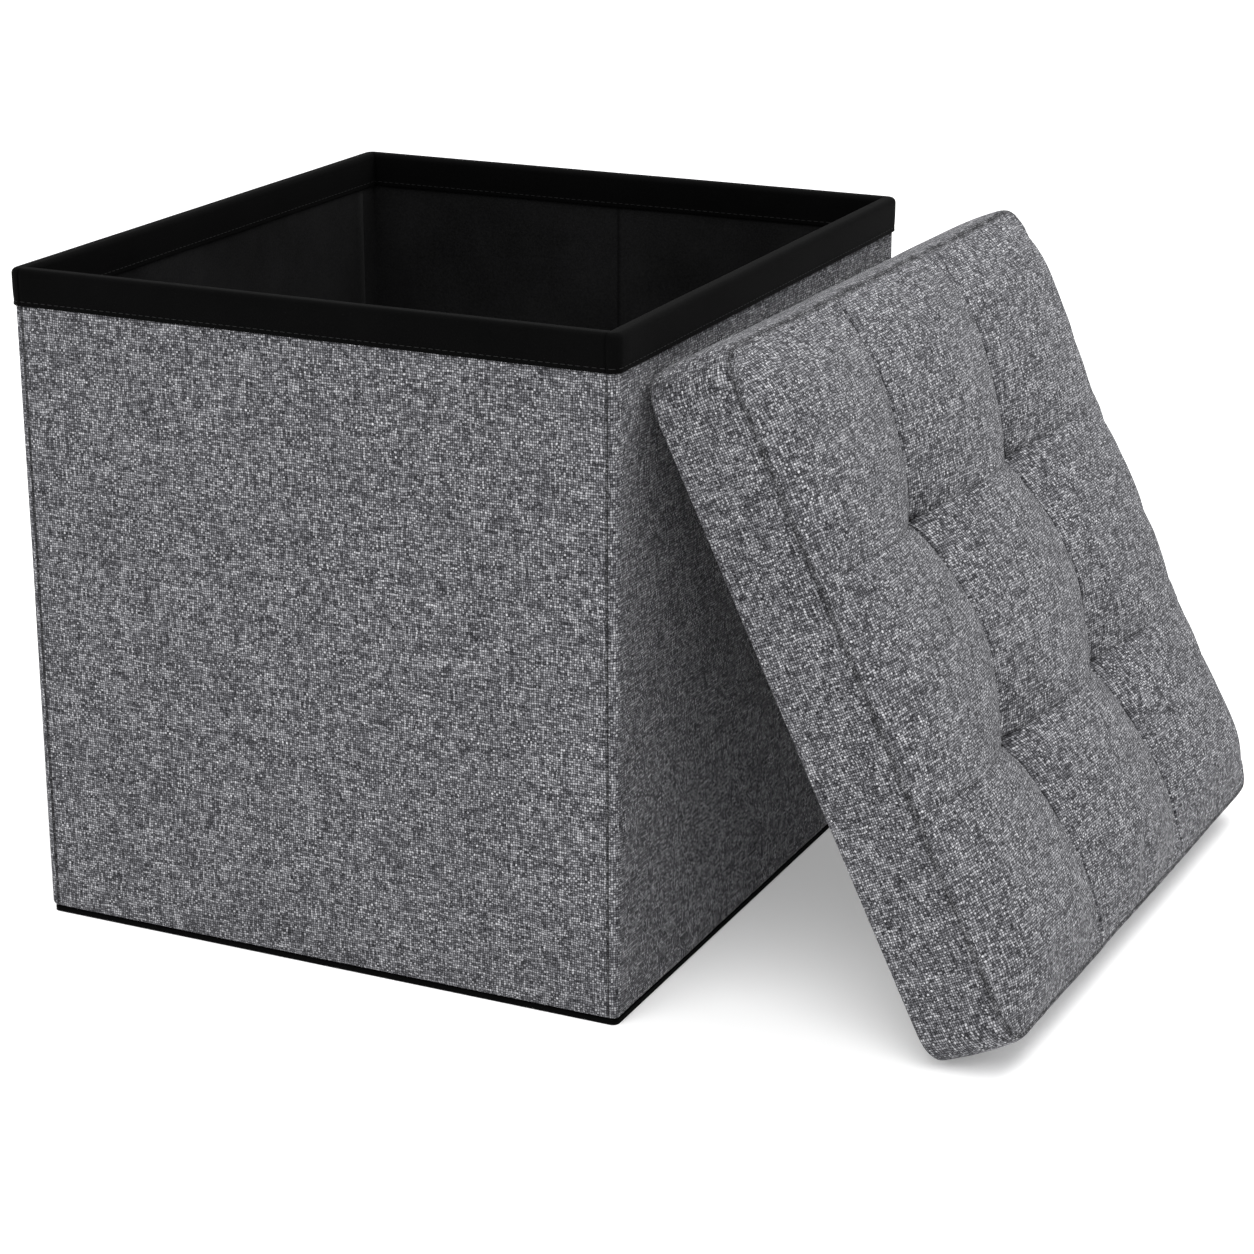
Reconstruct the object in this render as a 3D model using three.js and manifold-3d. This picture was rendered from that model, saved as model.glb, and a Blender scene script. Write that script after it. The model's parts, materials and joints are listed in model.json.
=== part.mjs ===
// Folding storage ottoman: a fabric-covered box of six hinged panels, a hinged base board and a tufted lid.
// Millimetres, +Z up. Origin: middle of the box's footprint, on the floor. The lid leans on the +X wall,
// and -Y is the front.
import * as THREE from 'three';
import { mergeVertices } from 'three/addons/utils/BufferGeometryUtils.js';
import Module from 'manifold-3d';

const wasm = await Module();
wasm.setup();

// ---- driving dimensions: box ----
const WIDTH = 370; // over the fabric, along X
const DEPTH = 400; // over the fabric, along Y
const HEIGHT = 386; // floor to the top of the rim binding
const SKIN = 1.0; // outer fabric with its backing
const BOARD = 4.0; // stiff panel inside each wall
const LINING = 0.8; // inner cloth
const GAP = 0.3; // clearance between touching pieces
const CORNER_RADIUS = 5; // fabric round the vertical corners
const RIM_THICKNESS = 1.6; // padded binding over the wall tops
const RIM_DROP = 21; // how far the binding comes down each face
const RIM_RADIUS = 2.5; // rounding of the binding's top edges
const RIM_CORNER_CLEARANCE = 0.8; // between the inner legs of two bindings that meet at a corner
const END_GAP = 0.5; // between a folding half panel and the side wall beside it
const FOLD_LINE_IN = 7; // the corner fold lines, in from the side walls' linings
const MID_GAP = 0.8; // between the two halves of a folding wall

// ---- driving dimensions: bottom and base board ----
const CLOTH = 0.4; // bottom cloth
const CLOTH_INSET = 1; // from the fabric's outer face to the cloth's edge
const BINDING_REACH = 0.6; // how far the bottom binding shows inside the walls' linings
const BASE_BOARD = 2.0;
const BASE_LINING = 0.4;
const BASE_SIDE_GAP = 1.5; // base board to the front and back linings
const BASE_END_GAP = 2.5; // base board to the left lining
const BASE_HINGE_IN = 3.5; // base hinge line to the right lining
const BASE_TAIL = 0.6; // how far the base board runs past its hinge line
const TAB_WIDTH = 24;
const TAB_LENGTH = 14;
const TAB_THICKNESS = 0.8;
const NOTCH_DEPTH = 18; // the notch round the pull tab, into the base board's free edge
const NOTCH_SIDE = 5; // beside the tab
const HINGE_TAPE = 0.4;
const HINGE_TAPE_HEIGHT = 24;
const HINGE_TAPE_INSET = 10; // from the base board's ends

// ---- driving dimensions: lid ----
const LID_OVERHANG = 13; // past the box's fabric on each side along X
const LID_OVERHANG_Y = 16; // and along Y
const LID_BAND_HEIGHT = 53; // underside to the top seam
const LID_CORNER = 22; // plan radius
const LID_FABRIC = 1.2;
const LID_CLOTH = 0.8; // underside cloth
const LID_BOARD = 5;
const LID_BOARD_INSET = 1; // board and foam inside the side band
const LID_CROWN = 10; // how far each tufted panel rises
const LID_PANELS = 3; // tufted panels each way
const TUFT_DEPTH = 9; // extra pull at each tuft
const TUFT_SPREAD = 14; // how far that pull spreads
const TUFT_CORD = 1.6; // diameter
const CORD_HOLE = 2.4; // diameter
const WASHER = 18; // diameter
const WASHER_THICKNESS = 1.5;
const LID_LEAN = THREE.MathUtils.degToRad(26); // from the vertical
const LID_TURN = THREE.MathUtils.degToRad(-1.9); // the casual turn on the floor
const LID_SHIFT = 34; // towards the back
const LID_REST_GAP = 0.4; // lid to wall
const LID_FLOOR_GAP = 0.05;
const CELLS_PER_PANEL = 6; // facets of the tufted surface

// ---- worked out ----
const WALL = SKIN + GAP + BOARD + GAP + LINING;
const RIM_OUT = GAP + RIM_THICKNESS; // how far the binding stands out from a face
const INNER_X = WIDTH / 2 - WALL;
const INNER_Y = DEPTH / 2 - WALL;
const BASE_BOTTOM = CLOTH + GAP;
const BASE_TOP = BASE_BOTTOM + BASE_BOARD + GAP / 2 + BASE_LINING;
const WALL_BOTTOM = BASE_TOP + GAP; // the walls fold in above the base board
const WALL_TOP = HEIGHT - RIM_THICKNESS - GAP;
const BOARD_FOOT = WALL_BOTTOM + SKIN + GAP; // the fabric's hem turns in under the boards
const LID_LENGTH = WIDTH + 2 * LID_OVERHANG;
const LID_WIDTH = DEPTH + 2 * LID_OVERHANG_Y;
const LID_BOARD_BOTTOM = LID_CLOTH + GAP;
const LID_BOARD_TOP = LID_BOARD_BOTTOM + LID_BOARD;
const ARC_SEGMENTS = 6;

// ---- materials ----
const finish = (color, roughness) => new THREE.MeshStandardMaterial({ color, roughness, metalness: 0 });
const wovenFabric = () => finish(0x6e6e73, 0.95);
const blackCloth = () => finish(0x121213, 0.9);
const blackBinding = () => finish(0x17171a, 0.85);
const hardboard = () => finish(0x7a5a3c, 0.8);
const foam = () => finish(0xe8e0c8, 1.0);
const cord = () => finish(0x2a2a2c, 0.9);
const washerPlastic = () => finish(0x1c1c1e, 0.5);

// ---- geometry helpers ----
function block(x0, x1, y0, y1, z0, z1) {
  const geometry = new THREE.BoxGeometry(x1 - x0, y1 - y0, z1 - z0);
  return geometry.translate((x0 + x1) / 2, (y0 + y1) / 2, (z0 + z1) / 2);
}

function prismAlongZ(shape, z0, z1) {
  const options = { depth: z1 - z0, bevelEnabled: false, curveSegments: ARC_SEGMENTS };
  return new THREE.ExtrudeGeometry(shape, options).translate(0, 0, z0);
}

// A shape drawn in (y, z), run along x.
function prismAlongX(shape, x0, x1) {
  const options = { depth: x1 - x0, bevelEnabled: false, curveSegments: ARC_SEGMENTS };
  const turn = new THREE.Matrix4().makeBasis(
    new THREE.Vector3(0, 1, 0),
    new THREE.Vector3(0, 0, 1),
    new THREE.Vector3(1, 0, 0),
  );
  return new THREE.ExtrudeGeometry(shape, options).applyMatrix4(turn).translate(x0, 0, 0);
}

function disc(diameter, z0, z1, x, y) {
  const geometry = new THREE.CylinderGeometry(diameter / 2, diameter / 2, z1 - z0, 16);
  return geometry.rotateX(Math.PI / 2).translate(x, y, (z0 + z1) / 2);
}

function roundedRectangle(x0, x1, y0, y1, radius) {
  const shape = new THREE.Shape();
  shape.moveTo(x0 + radius, y0);
  shape.lineTo(x1 - radius, y0);
  shape.absarc(x1 - radius, y0 + radius, radius, -Math.PI / 2, 0);
  shape.lineTo(x1, y1 - radius);
  shape.absarc(x1 - radius, y1 - radius, radius, 0, Math.PI / 2);
  shape.lineTo(x0 + radius, y1);
  shape.absarc(x0 + radius, y1 - radius, radius, Math.PI / 2, Math.PI);
  shape.lineTo(x0, y0 + radius);
  shape.absarc(x0 + radius, y0 + radius, radius, Math.PI, 1.5 * Math.PI);
  return shape;
}

function toSolid(geometry) {
  const bare = geometry.clone();
  bare.deleteAttribute('normal');
  bare.deleteAttribute('uv');
  const merged = mergeVertices(bare, 1e-4);
  const mesh = new wasm.Mesh({
    numProp: 3,
    vertProperties: new Float32Array(merged.attributes.position.array),
    triVerts: new Uint32Array(merged.index.array),
  });
  return new wasm.Manifold(mesh);
}

function fromSolid(solid) {
  const mesh = solid.getMesh();
  const result = new THREE.BufferGeometry();
  result.setAttribute('position', new THREE.BufferAttribute(new Float32Array(mesh.vertProperties), 3));
  result.setIndex(new THREE.BufferAttribute(new Uint32Array(mesh.triVerts), 1));
  result.computeVertexNormals();
  return result;
}

function cutAway(geometry, ...cutters) {
  return fromSolid(cutters.reduce((left, cutter) => left.subtract(toSolid(cutter)), toSolid(geometry)));
}

function piece(name, geometry, material) {
  const mesh = new THREE.Mesh(geometry, material);
  mesh.name = name;
  return mesh;
}

// ---- side walls: whole panels whose fabric turns the corners ----

// The plan outline of a strip between x0 and x1 with its two outer corners rounded.
function sidePlan(x0, x1, halfDepth, radius) {
  const shape = new THREE.Shape();
  shape.moveTo(x0, -halfDepth);
  shape.lineTo(x1 - radius, -halfDepth);
  shape.absarc(x1 - radius, -halfDepth + radius, radius, -Math.PI / 2, 0);
  shape.lineTo(x1, halfDepth - radius);
  shape.absarc(x1 - radius, halfDepth - radius, radius, 0, Math.PI / 2);
  shape.lineTo(x0, halfDepth);
  shape.closePath();
  return shape;
}

function sideFabric() {
  const x0 = INNER_X + LINING + GAP;
  const past = 1; // the cutter runs out through the open inner face
  const outer = prismAlongZ(sidePlan(x0, WIDTH / 2, DEPTH / 2, CORNER_RADIUS), WALL_BOTTOM, WALL_TOP);
  const innerPlan = sidePlan(x0 - past, WIDTH / 2 - SKIN, DEPTH / 2 - SKIN, CORNER_RADIUS - SKIN);
  return cutAway(outer, prismAlongZ(innerPlan, WALL_BOTTOM - past, WALL_TOP + past));
}

function sideBoard() {
  const face = SKIN + GAP;
  const plan = sidePlan(INNER_X + LINING + GAP, WIDTH / 2 - face, DEPTH / 2 - face, CORNER_RADIUS - face);
  return prismAlongZ(plan, BOARD_FOOT, WALL_TOP);
}

function sideLining() {
  const halfDepth = DEPTH / 2 - SKIN - GAP;
  return block(INNER_X, INNER_X + LINING, -halfDepth, halfDepth, WALL_BOTTOM, WALL_TOP);
}

// The binding caps the wall and its two ends. Its inner leg stops short of the front and back bindings.
function sideRim() {
  const past = 2;
  const bottom = HEIGHT - RIM_DROP;
  const outerPlan = sidePlan(INNER_X, WIDTH / 2 + RIM_OUT, DEPTH / 2 + RIM_OUT, CORNER_RADIUS + RIM_OUT);
  const cap = toSolid(prismAlongZ(outerPlan, bottom, HEIGHT));
  const legEnd = INNER_Y - RIM_OUT - RIM_CORNER_CLEARANCE;
  const leg = toSolid(block(INNER_X - RIM_OUT, INNER_X + GAP, -legEnd, legEnd, bottom, HEIGHT));
  const slotPlan = sidePlan(INNER_X - GAP, WIDTH / 2 + GAP, DEPTH / 2 + GAP, CORNER_RADIUS + GAP);
  const slot = toSolid(prismAlongZ(slotPlan, bottom - past, HEIGHT - RIM_THICKNESS));
  return fromSolid(cap.add(leg).subtract(slot));
}

function sideWall(name) {
  const wall = new THREE.Group();
  wall.add(
    piece(`${name}_board`, sideBoard(), hardboard()),
    piece(`${name}_fabric`, sideFabric(), wovenFabric()),
    piece(`${name}_lining`, sideLining(), blackCloth()),
    piece(`${name}_rim`, sideRim(), blackBinding()),
  );
  return wall;
}

// ---- front and back walls: two half panels that fold inwards at the middle ----

// The binding's section in (y, z): a cap with rounded top edges over a wall whose outer face is at y = -DEPTH / 2.
function rimSection() {
  const outer = -DEPTH / 2 - RIM_OUT;
  const inner = -INNER_Y + RIM_OUT;
  const bottom = HEIGHT - RIM_DROP;
  const shape = new THREE.Shape();
  shape.moveTo(outer, bottom);
  shape.lineTo(outer + RIM_THICKNESS, bottom);
  shape.lineTo(outer + RIM_THICKNESS, HEIGHT - RIM_THICKNESS);
  shape.lineTo(inner - RIM_THICKNESS, HEIGHT - RIM_THICKNESS);
  shape.lineTo(inner - RIM_THICKNESS, bottom);
  shape.lineTo(inner, bottom);
  shape.lineTo(inner, HEIGHT - RIM_RADIUS);
  shape.absarc(inner - RIM_RADIUS, HEIGHT - RIM_RADIUS, RIM_RADIUS, 0, Math.PI / 2);
  shape.lineTo(outer + RIM_RADIUS, HEIGHT);
  shape.absarc(outer + RIM_RADIUS, HEIGHT - RIM_RADIUS, RIM_RADIUS, Math.PI / 2, Math.PI);
  shape.closePath();
  return shape;
}

// The board stops at the corner fold line; past it the cloth and the binding are the hinge.
function halfWall(name, x0, x1) {
  const fabricIn = -DEPTH / 2 + SKIN;
  const boardOut = fabricIn + GAP;
  const boardIn = boardOut + BOARD;
  const foldLine = INNER_X - FOLD_LINE_IN;
  const boardStart = Math.max(x0, -foldLine);
  const boardEnd = Math.min(x1, foldLine);
  const half = new THREE.Group();
  half.add(
    piece(`${name}_board`, block(boardStart, boardEnd, boardOut, boardIn, BOARD_FOOT, WALL_TOP), hardboard()),
    piece(`${name}_fabric`, block(x0, x1, -DEPTH / 2, fabricIn, WALL_BOTTOM, WALL_TOP), wovenFabric()),
    piece(`${name}_lining`, block(x0, x1, -INNER_Y - LINING, -INNER_Y, WALL_BOTTOM, WALL_TOP), blackCloth()),
    piece(`${name}_rim`, prismAlongX(rimSection(), x0, x1), blackBinding()),
  );
  return half;
}

function walls() {
  const group = new THREE.Group();
  const near = MID_GAP / 2;
  const far = INNER_X - END_GAP;
  const opposite = new THREE.Group(); // the left and back walls are the right and front walls turned half round
  opposite.rotation.z = Math.PI;
  opposite.add(sideWall('left'), halfWall('back_left', near, far), halfWall('back_right', -far, -near));
  group.add(sideWall('right'), halfWall('front_right', near, far), halfWall('front_left', -far, -near), opposite);
  return group;
}

// ---- bottom and base board ----
function bottomCloth() {
  const x = WIDTH / 2 - CLOTH_INSET;
  const y = DEPTH / 2 - CLOTH_INSET;
  return piece('bottom_cloth', block(-x, x, -y, y, 0, CLOTH), blackCloth());
}

function bottomBinding() {
  const x = WIDTH / 2 - CLOTH_INSET;
  const y = DEPTH / 2 - CLOTH_INSET;
  const outline = roundedRectangle(-x, x, -y, y, CORNER_RADIUS);
  const insideX = INNER_X - BINDING_REACH;
  const insideY = INNER_Y - BINDING_REACH;
  outline.holes.push(roundedRectangle(-insideX, insideX, -insideY, insideY, GAP));
  return piece('bottom_binding', prismAlongZ(outline, BASE_BOTTOM, BASE_TOP), blackBinding());
}

// The base board's plan, with a notch in its free edge for the pull tab.
function basePlan(inset) {
  const right = INNER_X - BASE_HINGE_IN + BASE_TAIL - inset;
  const left = -INNER_X + BASE_END_GAP + inset;
  const y = INNER_Y - BASE_SIDE_GAP - inset;
  const notchX = left + NOTCH_DEPTH - inset;
  const notchY = TAB_WIDTH / 2 + NOTCH_SIDE + inset;
  const shape = new THREE.Shape();
  shape.moveTo(left, -y);
  shape.lineTo(right, -y);
  shape.lineTo(right, y);
  shape.lineTo(left, y);
  shape.lineTo(left, notchY);
  shape.lineTo(notchX, notchY);
  shape.lineTo(notchX, -notchY);
  shape.lineTo(left, -notchY);
  shape.closePath();
  return shape;
}

function baseBoard() {
  const top = BASE_BOTTOM + BASE_BOARD;
  const liningInset = 1;
  const notchX = -INNER_X + BASE_END_GAP + NOTCH_DEPTH;
  const tabMiddle = BASE_BOTTOM + BASE_BOARD / 2;
  const tabEnd = notchX - GAP;
  const tab = block(
    tabEnd - TAB_LENGTH, tabEnd,
    -TAB_WIDTH / 2, TAB_WIDTH / 2,
    tabMiddle - TAB_THICKNESS / 2, tabMiddle + TAB_THICKNESS / 2,
  );
  const base = new THREE.Group();
  base.add(
    piece('base_board', prismAlongZ(basePlan(0), BASE_BOTTOM, top), hardboard()),
    piece('base_lining', prismAlongZ(basePlan(liningInset), top + GAP / 2, BASE_TOP), blackCloth()),
    piece('base_pull_tab', tab, blackBinding()),
  );
  return base;
}

function baseHingeTape() {
  const x = INNER_X - GAP;
  const y = INNER_Y - BASE_SIDE_GAP - HINGE_TAPE_INSET;
  const geometry = block(x - HINGE_TAPE, x, -y, y, WALL_BOTTOM, WALL_BOTTOM + HINGE_TAPE_HEIGHT);
  return piece('base_hinge_tape', geometry, blackCloth());
}

// ---- lid ----
// Lid frame: x down the slope with the lower edge at 0, y across, z from the underside out to the cushion.
const LID_MIDDLE_X = -LID_LENGTH / 2;

function lidPlan(inset) {
  const radius = LID_CORNER - inset;
  const y = LID_WIDTH / 2 - inset;
  return roundedRectangle(-LID_LENGTH + inset, -inset, -y, y, radius);
}

// The tufts are where the seams between the panels cross.
function tuftPlaces() {
  const places = [];
  for (let i = 1; i < LID_PANELS; i += 1) {
    for (let j = 1; j < LID_PANELS; j += 1) {
      const x = LID_MIDDLE_X + LID_LENGTH * (i / LID_PANELS - 0.5);
      const y = LID_WIDTH * (j / LID_PANELS - 0.5);
      places.push([x, y]);
    }
  }
  return places;
}

// Height of the cushion's surface over the lid frame, for u and v from 0 to 1 across the lid.
function cushionHeight(u, v) {
  const s = (u * LID_PANELS) % 1;
  const t = (v * LID_PANELS) % 1;
  const bump = 16 * s * (1 - s) * t * (1 - t);
  const x = LID_MIDDLE_X + LID_LENGTH * (u - 0.5);
  const y = LID_WIDTH * (v - 0.5);
  const pull = tuftPlaces().reduce((sum, [tx, ty]) => {
    const distance = Math.hypot(x - tx, y - ty);
    return sum + Math.exp(-(distance ** 2) / (2 * TUFT_SPREAD ** 2));
  }, 0);
  return LID_BAND_HEIGHT + LID_CROWN * Math.sqrt(Math.max(bump, 0)) - TUFT_DEPTH * pull;
}

// A grid point pulled in so that the grid's corners follow the plan radius.
function roundedGridPoint(u, v) {
  const halfX = LID_LENGTH / 2;
  const halfY = LID_WIDTH / 2;
  const radius = LID_CORNER;
  const x = halfX * (2 * u - 1);
  const y = halfY * (2 * v - 1);
  const dx = Math.abs(x) - (halfX - radius);
  const dy = Math.abs(y) - (halfY - radius);
  if (dx <= 0 || dy <= 0) return [LID_MIDDLE_X + x, y];
  const pull = Math.max(dx, dy) / Math.hypot(dx, dy);
  const px = Math.sign(x) * (halfX - radius + dx * pull);
  const py = Math.sign(y) * (halfY - radius + dy * pull);
  return [LID_MIDDLE_X + px, py];
}

// A closed slab over the lid's plan between two height functions.
function slab(lowerHeight, upperHeight) {
  const cells = LID_PANELS * CELLS_PER_PANEL;
  const side = cells + 1;
  const positions = [];
  for (const height of [lowerHeight, upperHeight]) {
    for (let i = 0; i < side; i += 1) {
      for (let j = 0; j < side; j += 1) {
        const [x, y] = roundedGridPoint(i / cells, j / cells);
        positions.push(x, y, height(i / cells, j / cells));
      }
    }
  }
  const at = (i, j, layer) => layer * side * side + i * side + j;
  const triangles = [];
  const quad = (a, b, c, d) => triangles.push(a, b, c, a, c, d);
  for (let i = 0; i < cells; i += 1) {
    for (let j = 0; j < cells; j += 1) {
      quad(at(i, j, 1), at(i + 1, j, 1), at(i + 1, j + 1, 1), at(i, j + 1, 1));
      quad(at(i, j, 0), at(i, j + 1, 0), at(i + 1, j + 1, 0), at(i + 1, j, 0));
    }
    quad(at(i, 0, 0), at(i + 1, 0, 0), at(i + 1, 0, 1), at(i, 0, 1));
    quad(at(i + 1, cells, 0), at(i, cells, 0), at(i, cells, 1), at(i + 1, cells, 1));
    quad(at(cells, i, 0), at(cells, i + 1, 0), at(cells, i + 1, 1), at(cells, i, 1));
    quad(at(0, i + 1, 0), at(0, i, 0), at(0, i, 1), at(0, i + 1, 1));
  }
  const geometry = new THREE.BufferGeometry();
  geometry.setAttribute('position', new THREE.BufferAttribute(new Float32Array(positions), 3));
  geometry.setIndex(triangles);
  geometry.computeVertexNormals();
  return geometry;
}

function lidTopCover() {
  return slab((u, v) => cushionHeight(u, v) - LID_FABRIC, cushionHeight);
}

// The foam follows the underside of the cover, trimmed to fit inside the side band.
function lidFoam() {
  const drop = LID_FABRIC + GAP;
  const reach = LID_BAND_HEIGHT + LID_CROWN;
  const body = toSolid(slab(() => LID_BOARD_TOP + GAP, (u, v) => cushionHeight(u, v) - drop));
  const trim = toSolid(prismAlongZ(lidPlan(LID_FABRIC + LID_BOARD_INSET), 0, reach));
  const holes = tuftPlaces().map(([x, y]) => toSolid(disc(CORD_HOLE, 0, reach, x, y)));
  return fromSolid(holes.reduce((left, hole) => left.subtract(hole), body.intersect(trim)));
}

function lidSideBand() {
  const outline = lidPlan(0);
  outline.holes.push(lidPlan(LID_FABRIC));
  return prismAlongZ(outline, 0, LID_BAND_HEIGHT - LID_FABRIC - GAP);
}

function lidBoard() {
  const body = prismAlongZ(lidPlan(LID_FABRIC + LID_BOARD_INSET), LID_BOARD_BOTTOM, LID_BOARD_TOP);
  const pocketTop = LID_BOARD_BOTTOM + WASHER_THICKNESS + 2 * GAP;
  const cutters = tuftPlaces().flatMap(([x, y]) => [
    disc(CORD_HOLE, 0, LID_BOARD_TOP + 1, x, y),
    disc(WASHER + 2 * GAP, 0, pocketTop, x, y),
  ]);
  return cutAway(body, ...cutters);
}

function lidUndersideCloth() {
  return prismAlongZ(lidPlan(LID_FABRIC + GAP), 0, LID_CLOTH);
}

function tuftFastenings() {
  const group = new THREE.Group();
  const washerBottom = LID_BOARD_BOTTOM + GAP;
  const cordTop = LID_BAND_HEIGHT - TUFT_DEPTH - LID_FABRIC - GAP;
  tuftPlaces().forEach(([x, y], index) => {
    const washer = cutAway(
      disc(WASHER, washerBottom, washerBottom + WASHER_THICKNESS, x, y),
      disc(CORD_HOLE, 0, LID_BOARD_TOP, x, y),
    );
    group.add(
      piece(`lid_tuft_washer_${index + 1}`, washer, washerPlastic()),
      piece(`lid_tuft_cord_${index + 1}`, disc(TUFT_CORD, washerBottom, cordTop, x, y), cord()),
    );
  });
  return group;
}

function lid() {
  const body = new THREE.Group();
  body.add(
    piece('lid_board', lidBoard(), hardboard()),
    piece('lid_foam', lidFoam(), foam()),
    piece('lid_top_cover', lidTopCover(), wovenFabric()),
    piece('lid_side_band', lidSideBand(), wovenFabric()),
    piece('lid_underside_cloth', lidUndersideCloth(), blackCloth()),
    tuftFastenings(),
  );
  body.rotation.y = Math.PI / 2 - LID_LEAN;
  const turned = new THREE.Group();
  const reach = LID_LENGTH * Math.sin(LID_LEAN) * Math.cos(LID_TURN);
  const cornerReach = (LID_WIDTH / 2) * Math.abs(Math.sin(LID_TURN));
  turned.add(body);
  turned.rotation.z = LID_TURN;
  turned.position.set(WIDTH / 2 + LID_REST_GAP + reach + cornerReach, LID_SHIFT, LID_FLOOR_GAP);
  return turned;
}

const ottoman = new THREE.Group();
ottoman.add(walls(), bottomCloth(), bottomBinding(), baseBoard(), baseHingeTape(), lid());

export default ottoman;
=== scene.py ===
"""Folding storage ottoman: fabric skins, black lining and binding, and a tufted cushion lid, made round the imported
frame. Metres, in the frame's own axes: +X is the side the lid leans on, -Y is the front."""

import json
import math

import bmesh
import bpy
import numpy as np
from mathutils import Euler, Matrix, Vector, noise


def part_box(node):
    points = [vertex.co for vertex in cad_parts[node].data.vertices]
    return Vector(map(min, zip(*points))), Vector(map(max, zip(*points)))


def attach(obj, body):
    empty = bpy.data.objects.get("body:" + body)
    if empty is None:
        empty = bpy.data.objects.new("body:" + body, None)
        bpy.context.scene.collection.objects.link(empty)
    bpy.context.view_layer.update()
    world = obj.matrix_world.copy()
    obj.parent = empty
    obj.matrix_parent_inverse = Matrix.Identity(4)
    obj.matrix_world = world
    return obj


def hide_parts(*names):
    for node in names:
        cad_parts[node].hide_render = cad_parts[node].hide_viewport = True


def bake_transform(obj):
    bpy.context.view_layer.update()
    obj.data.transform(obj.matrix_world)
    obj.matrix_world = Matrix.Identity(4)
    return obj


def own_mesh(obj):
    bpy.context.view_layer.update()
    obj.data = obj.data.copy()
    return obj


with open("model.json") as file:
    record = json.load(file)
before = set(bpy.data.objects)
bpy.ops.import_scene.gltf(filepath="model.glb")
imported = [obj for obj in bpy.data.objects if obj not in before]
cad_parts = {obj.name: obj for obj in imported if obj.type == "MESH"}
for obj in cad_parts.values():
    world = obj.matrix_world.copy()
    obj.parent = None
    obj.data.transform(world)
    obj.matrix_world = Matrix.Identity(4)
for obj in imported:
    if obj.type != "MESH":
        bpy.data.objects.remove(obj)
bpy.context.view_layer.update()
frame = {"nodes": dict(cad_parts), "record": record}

MM = 0.001

# ---- sizes read from the frame ----
HALF_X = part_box("right_fabric")[1].x
HALF_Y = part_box("right_fabric")[1].y
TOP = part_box("right_rim")[1].z
RIM_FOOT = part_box("right_rim")[0].z
RIM_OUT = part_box("right_rim")[1].x - HALF_X
INNER_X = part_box("right_lining")[0].x
WALL = HALF_X - INNER_X
WALL_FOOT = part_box("right_fabric")[0].z
CLOTH_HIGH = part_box("bottom_cloth")[1].z
JOINTS = {joint["name"]: joint for joint in frame["record"]["behaviour"]["joints"]}
FOLD_X = JOINTS["wall_fold"]["pos_m"][0]

# ---- sizes of the soft goods ----
CORNER_RADIUS = 5 * MM
SHARPEST = 0.4 * MM  # the least plan radius of an inner corner
SKIN = 1.0 * MM
HEM_RADIUS = 3 * MM
HEM_FOOT = 3.4 * MM  # the hem hangs this far over the floor, just above the base lining
LINING = 0.8 * MM
PIECE_END = 20 * MM  # corner pieces run this far past the fold line on each face
UNDER_RIM = 8 * MM  # the skin's and lining's raw top edges, under the binding
MIDDLE_BEND = 6 * MM  # a middle fold bends over this much on each side
CORNER_BEND = 7 * MM  # a corner fold bends from the lining to this far short of the pivot
FINE, WIDE = 1.2 * MM, 9 * MM  # mesh steps round the box, near a fold and between folds
BEFORE_FOLD, AFTER_FOLD = 23 * MM, 14 * MM  # how far the fine steps reach
SEAM_STEPS = (-2, -1.2, -0.6, 0, 0.6, 1.2, 2)  # mesh steps across an upright seam, in millimetres


# ---- camera ----
def make_camera():
    data = bpy.data.cameras.new("camera")
    data.lens = 90.5
    data.sensor_width = 36
    camera = bpy.data.objects.new("camera", data)
    camera.location = (0.850, -1.604, 0.757)
    camera.rotation_euler = Euler((math.radians(90 - 18.74), 0, math.radians(25.15)))
    bpy.context.scene.collection.objects.link(camera)
    bpy.context.scene.camera = camera


make_camera()


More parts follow.
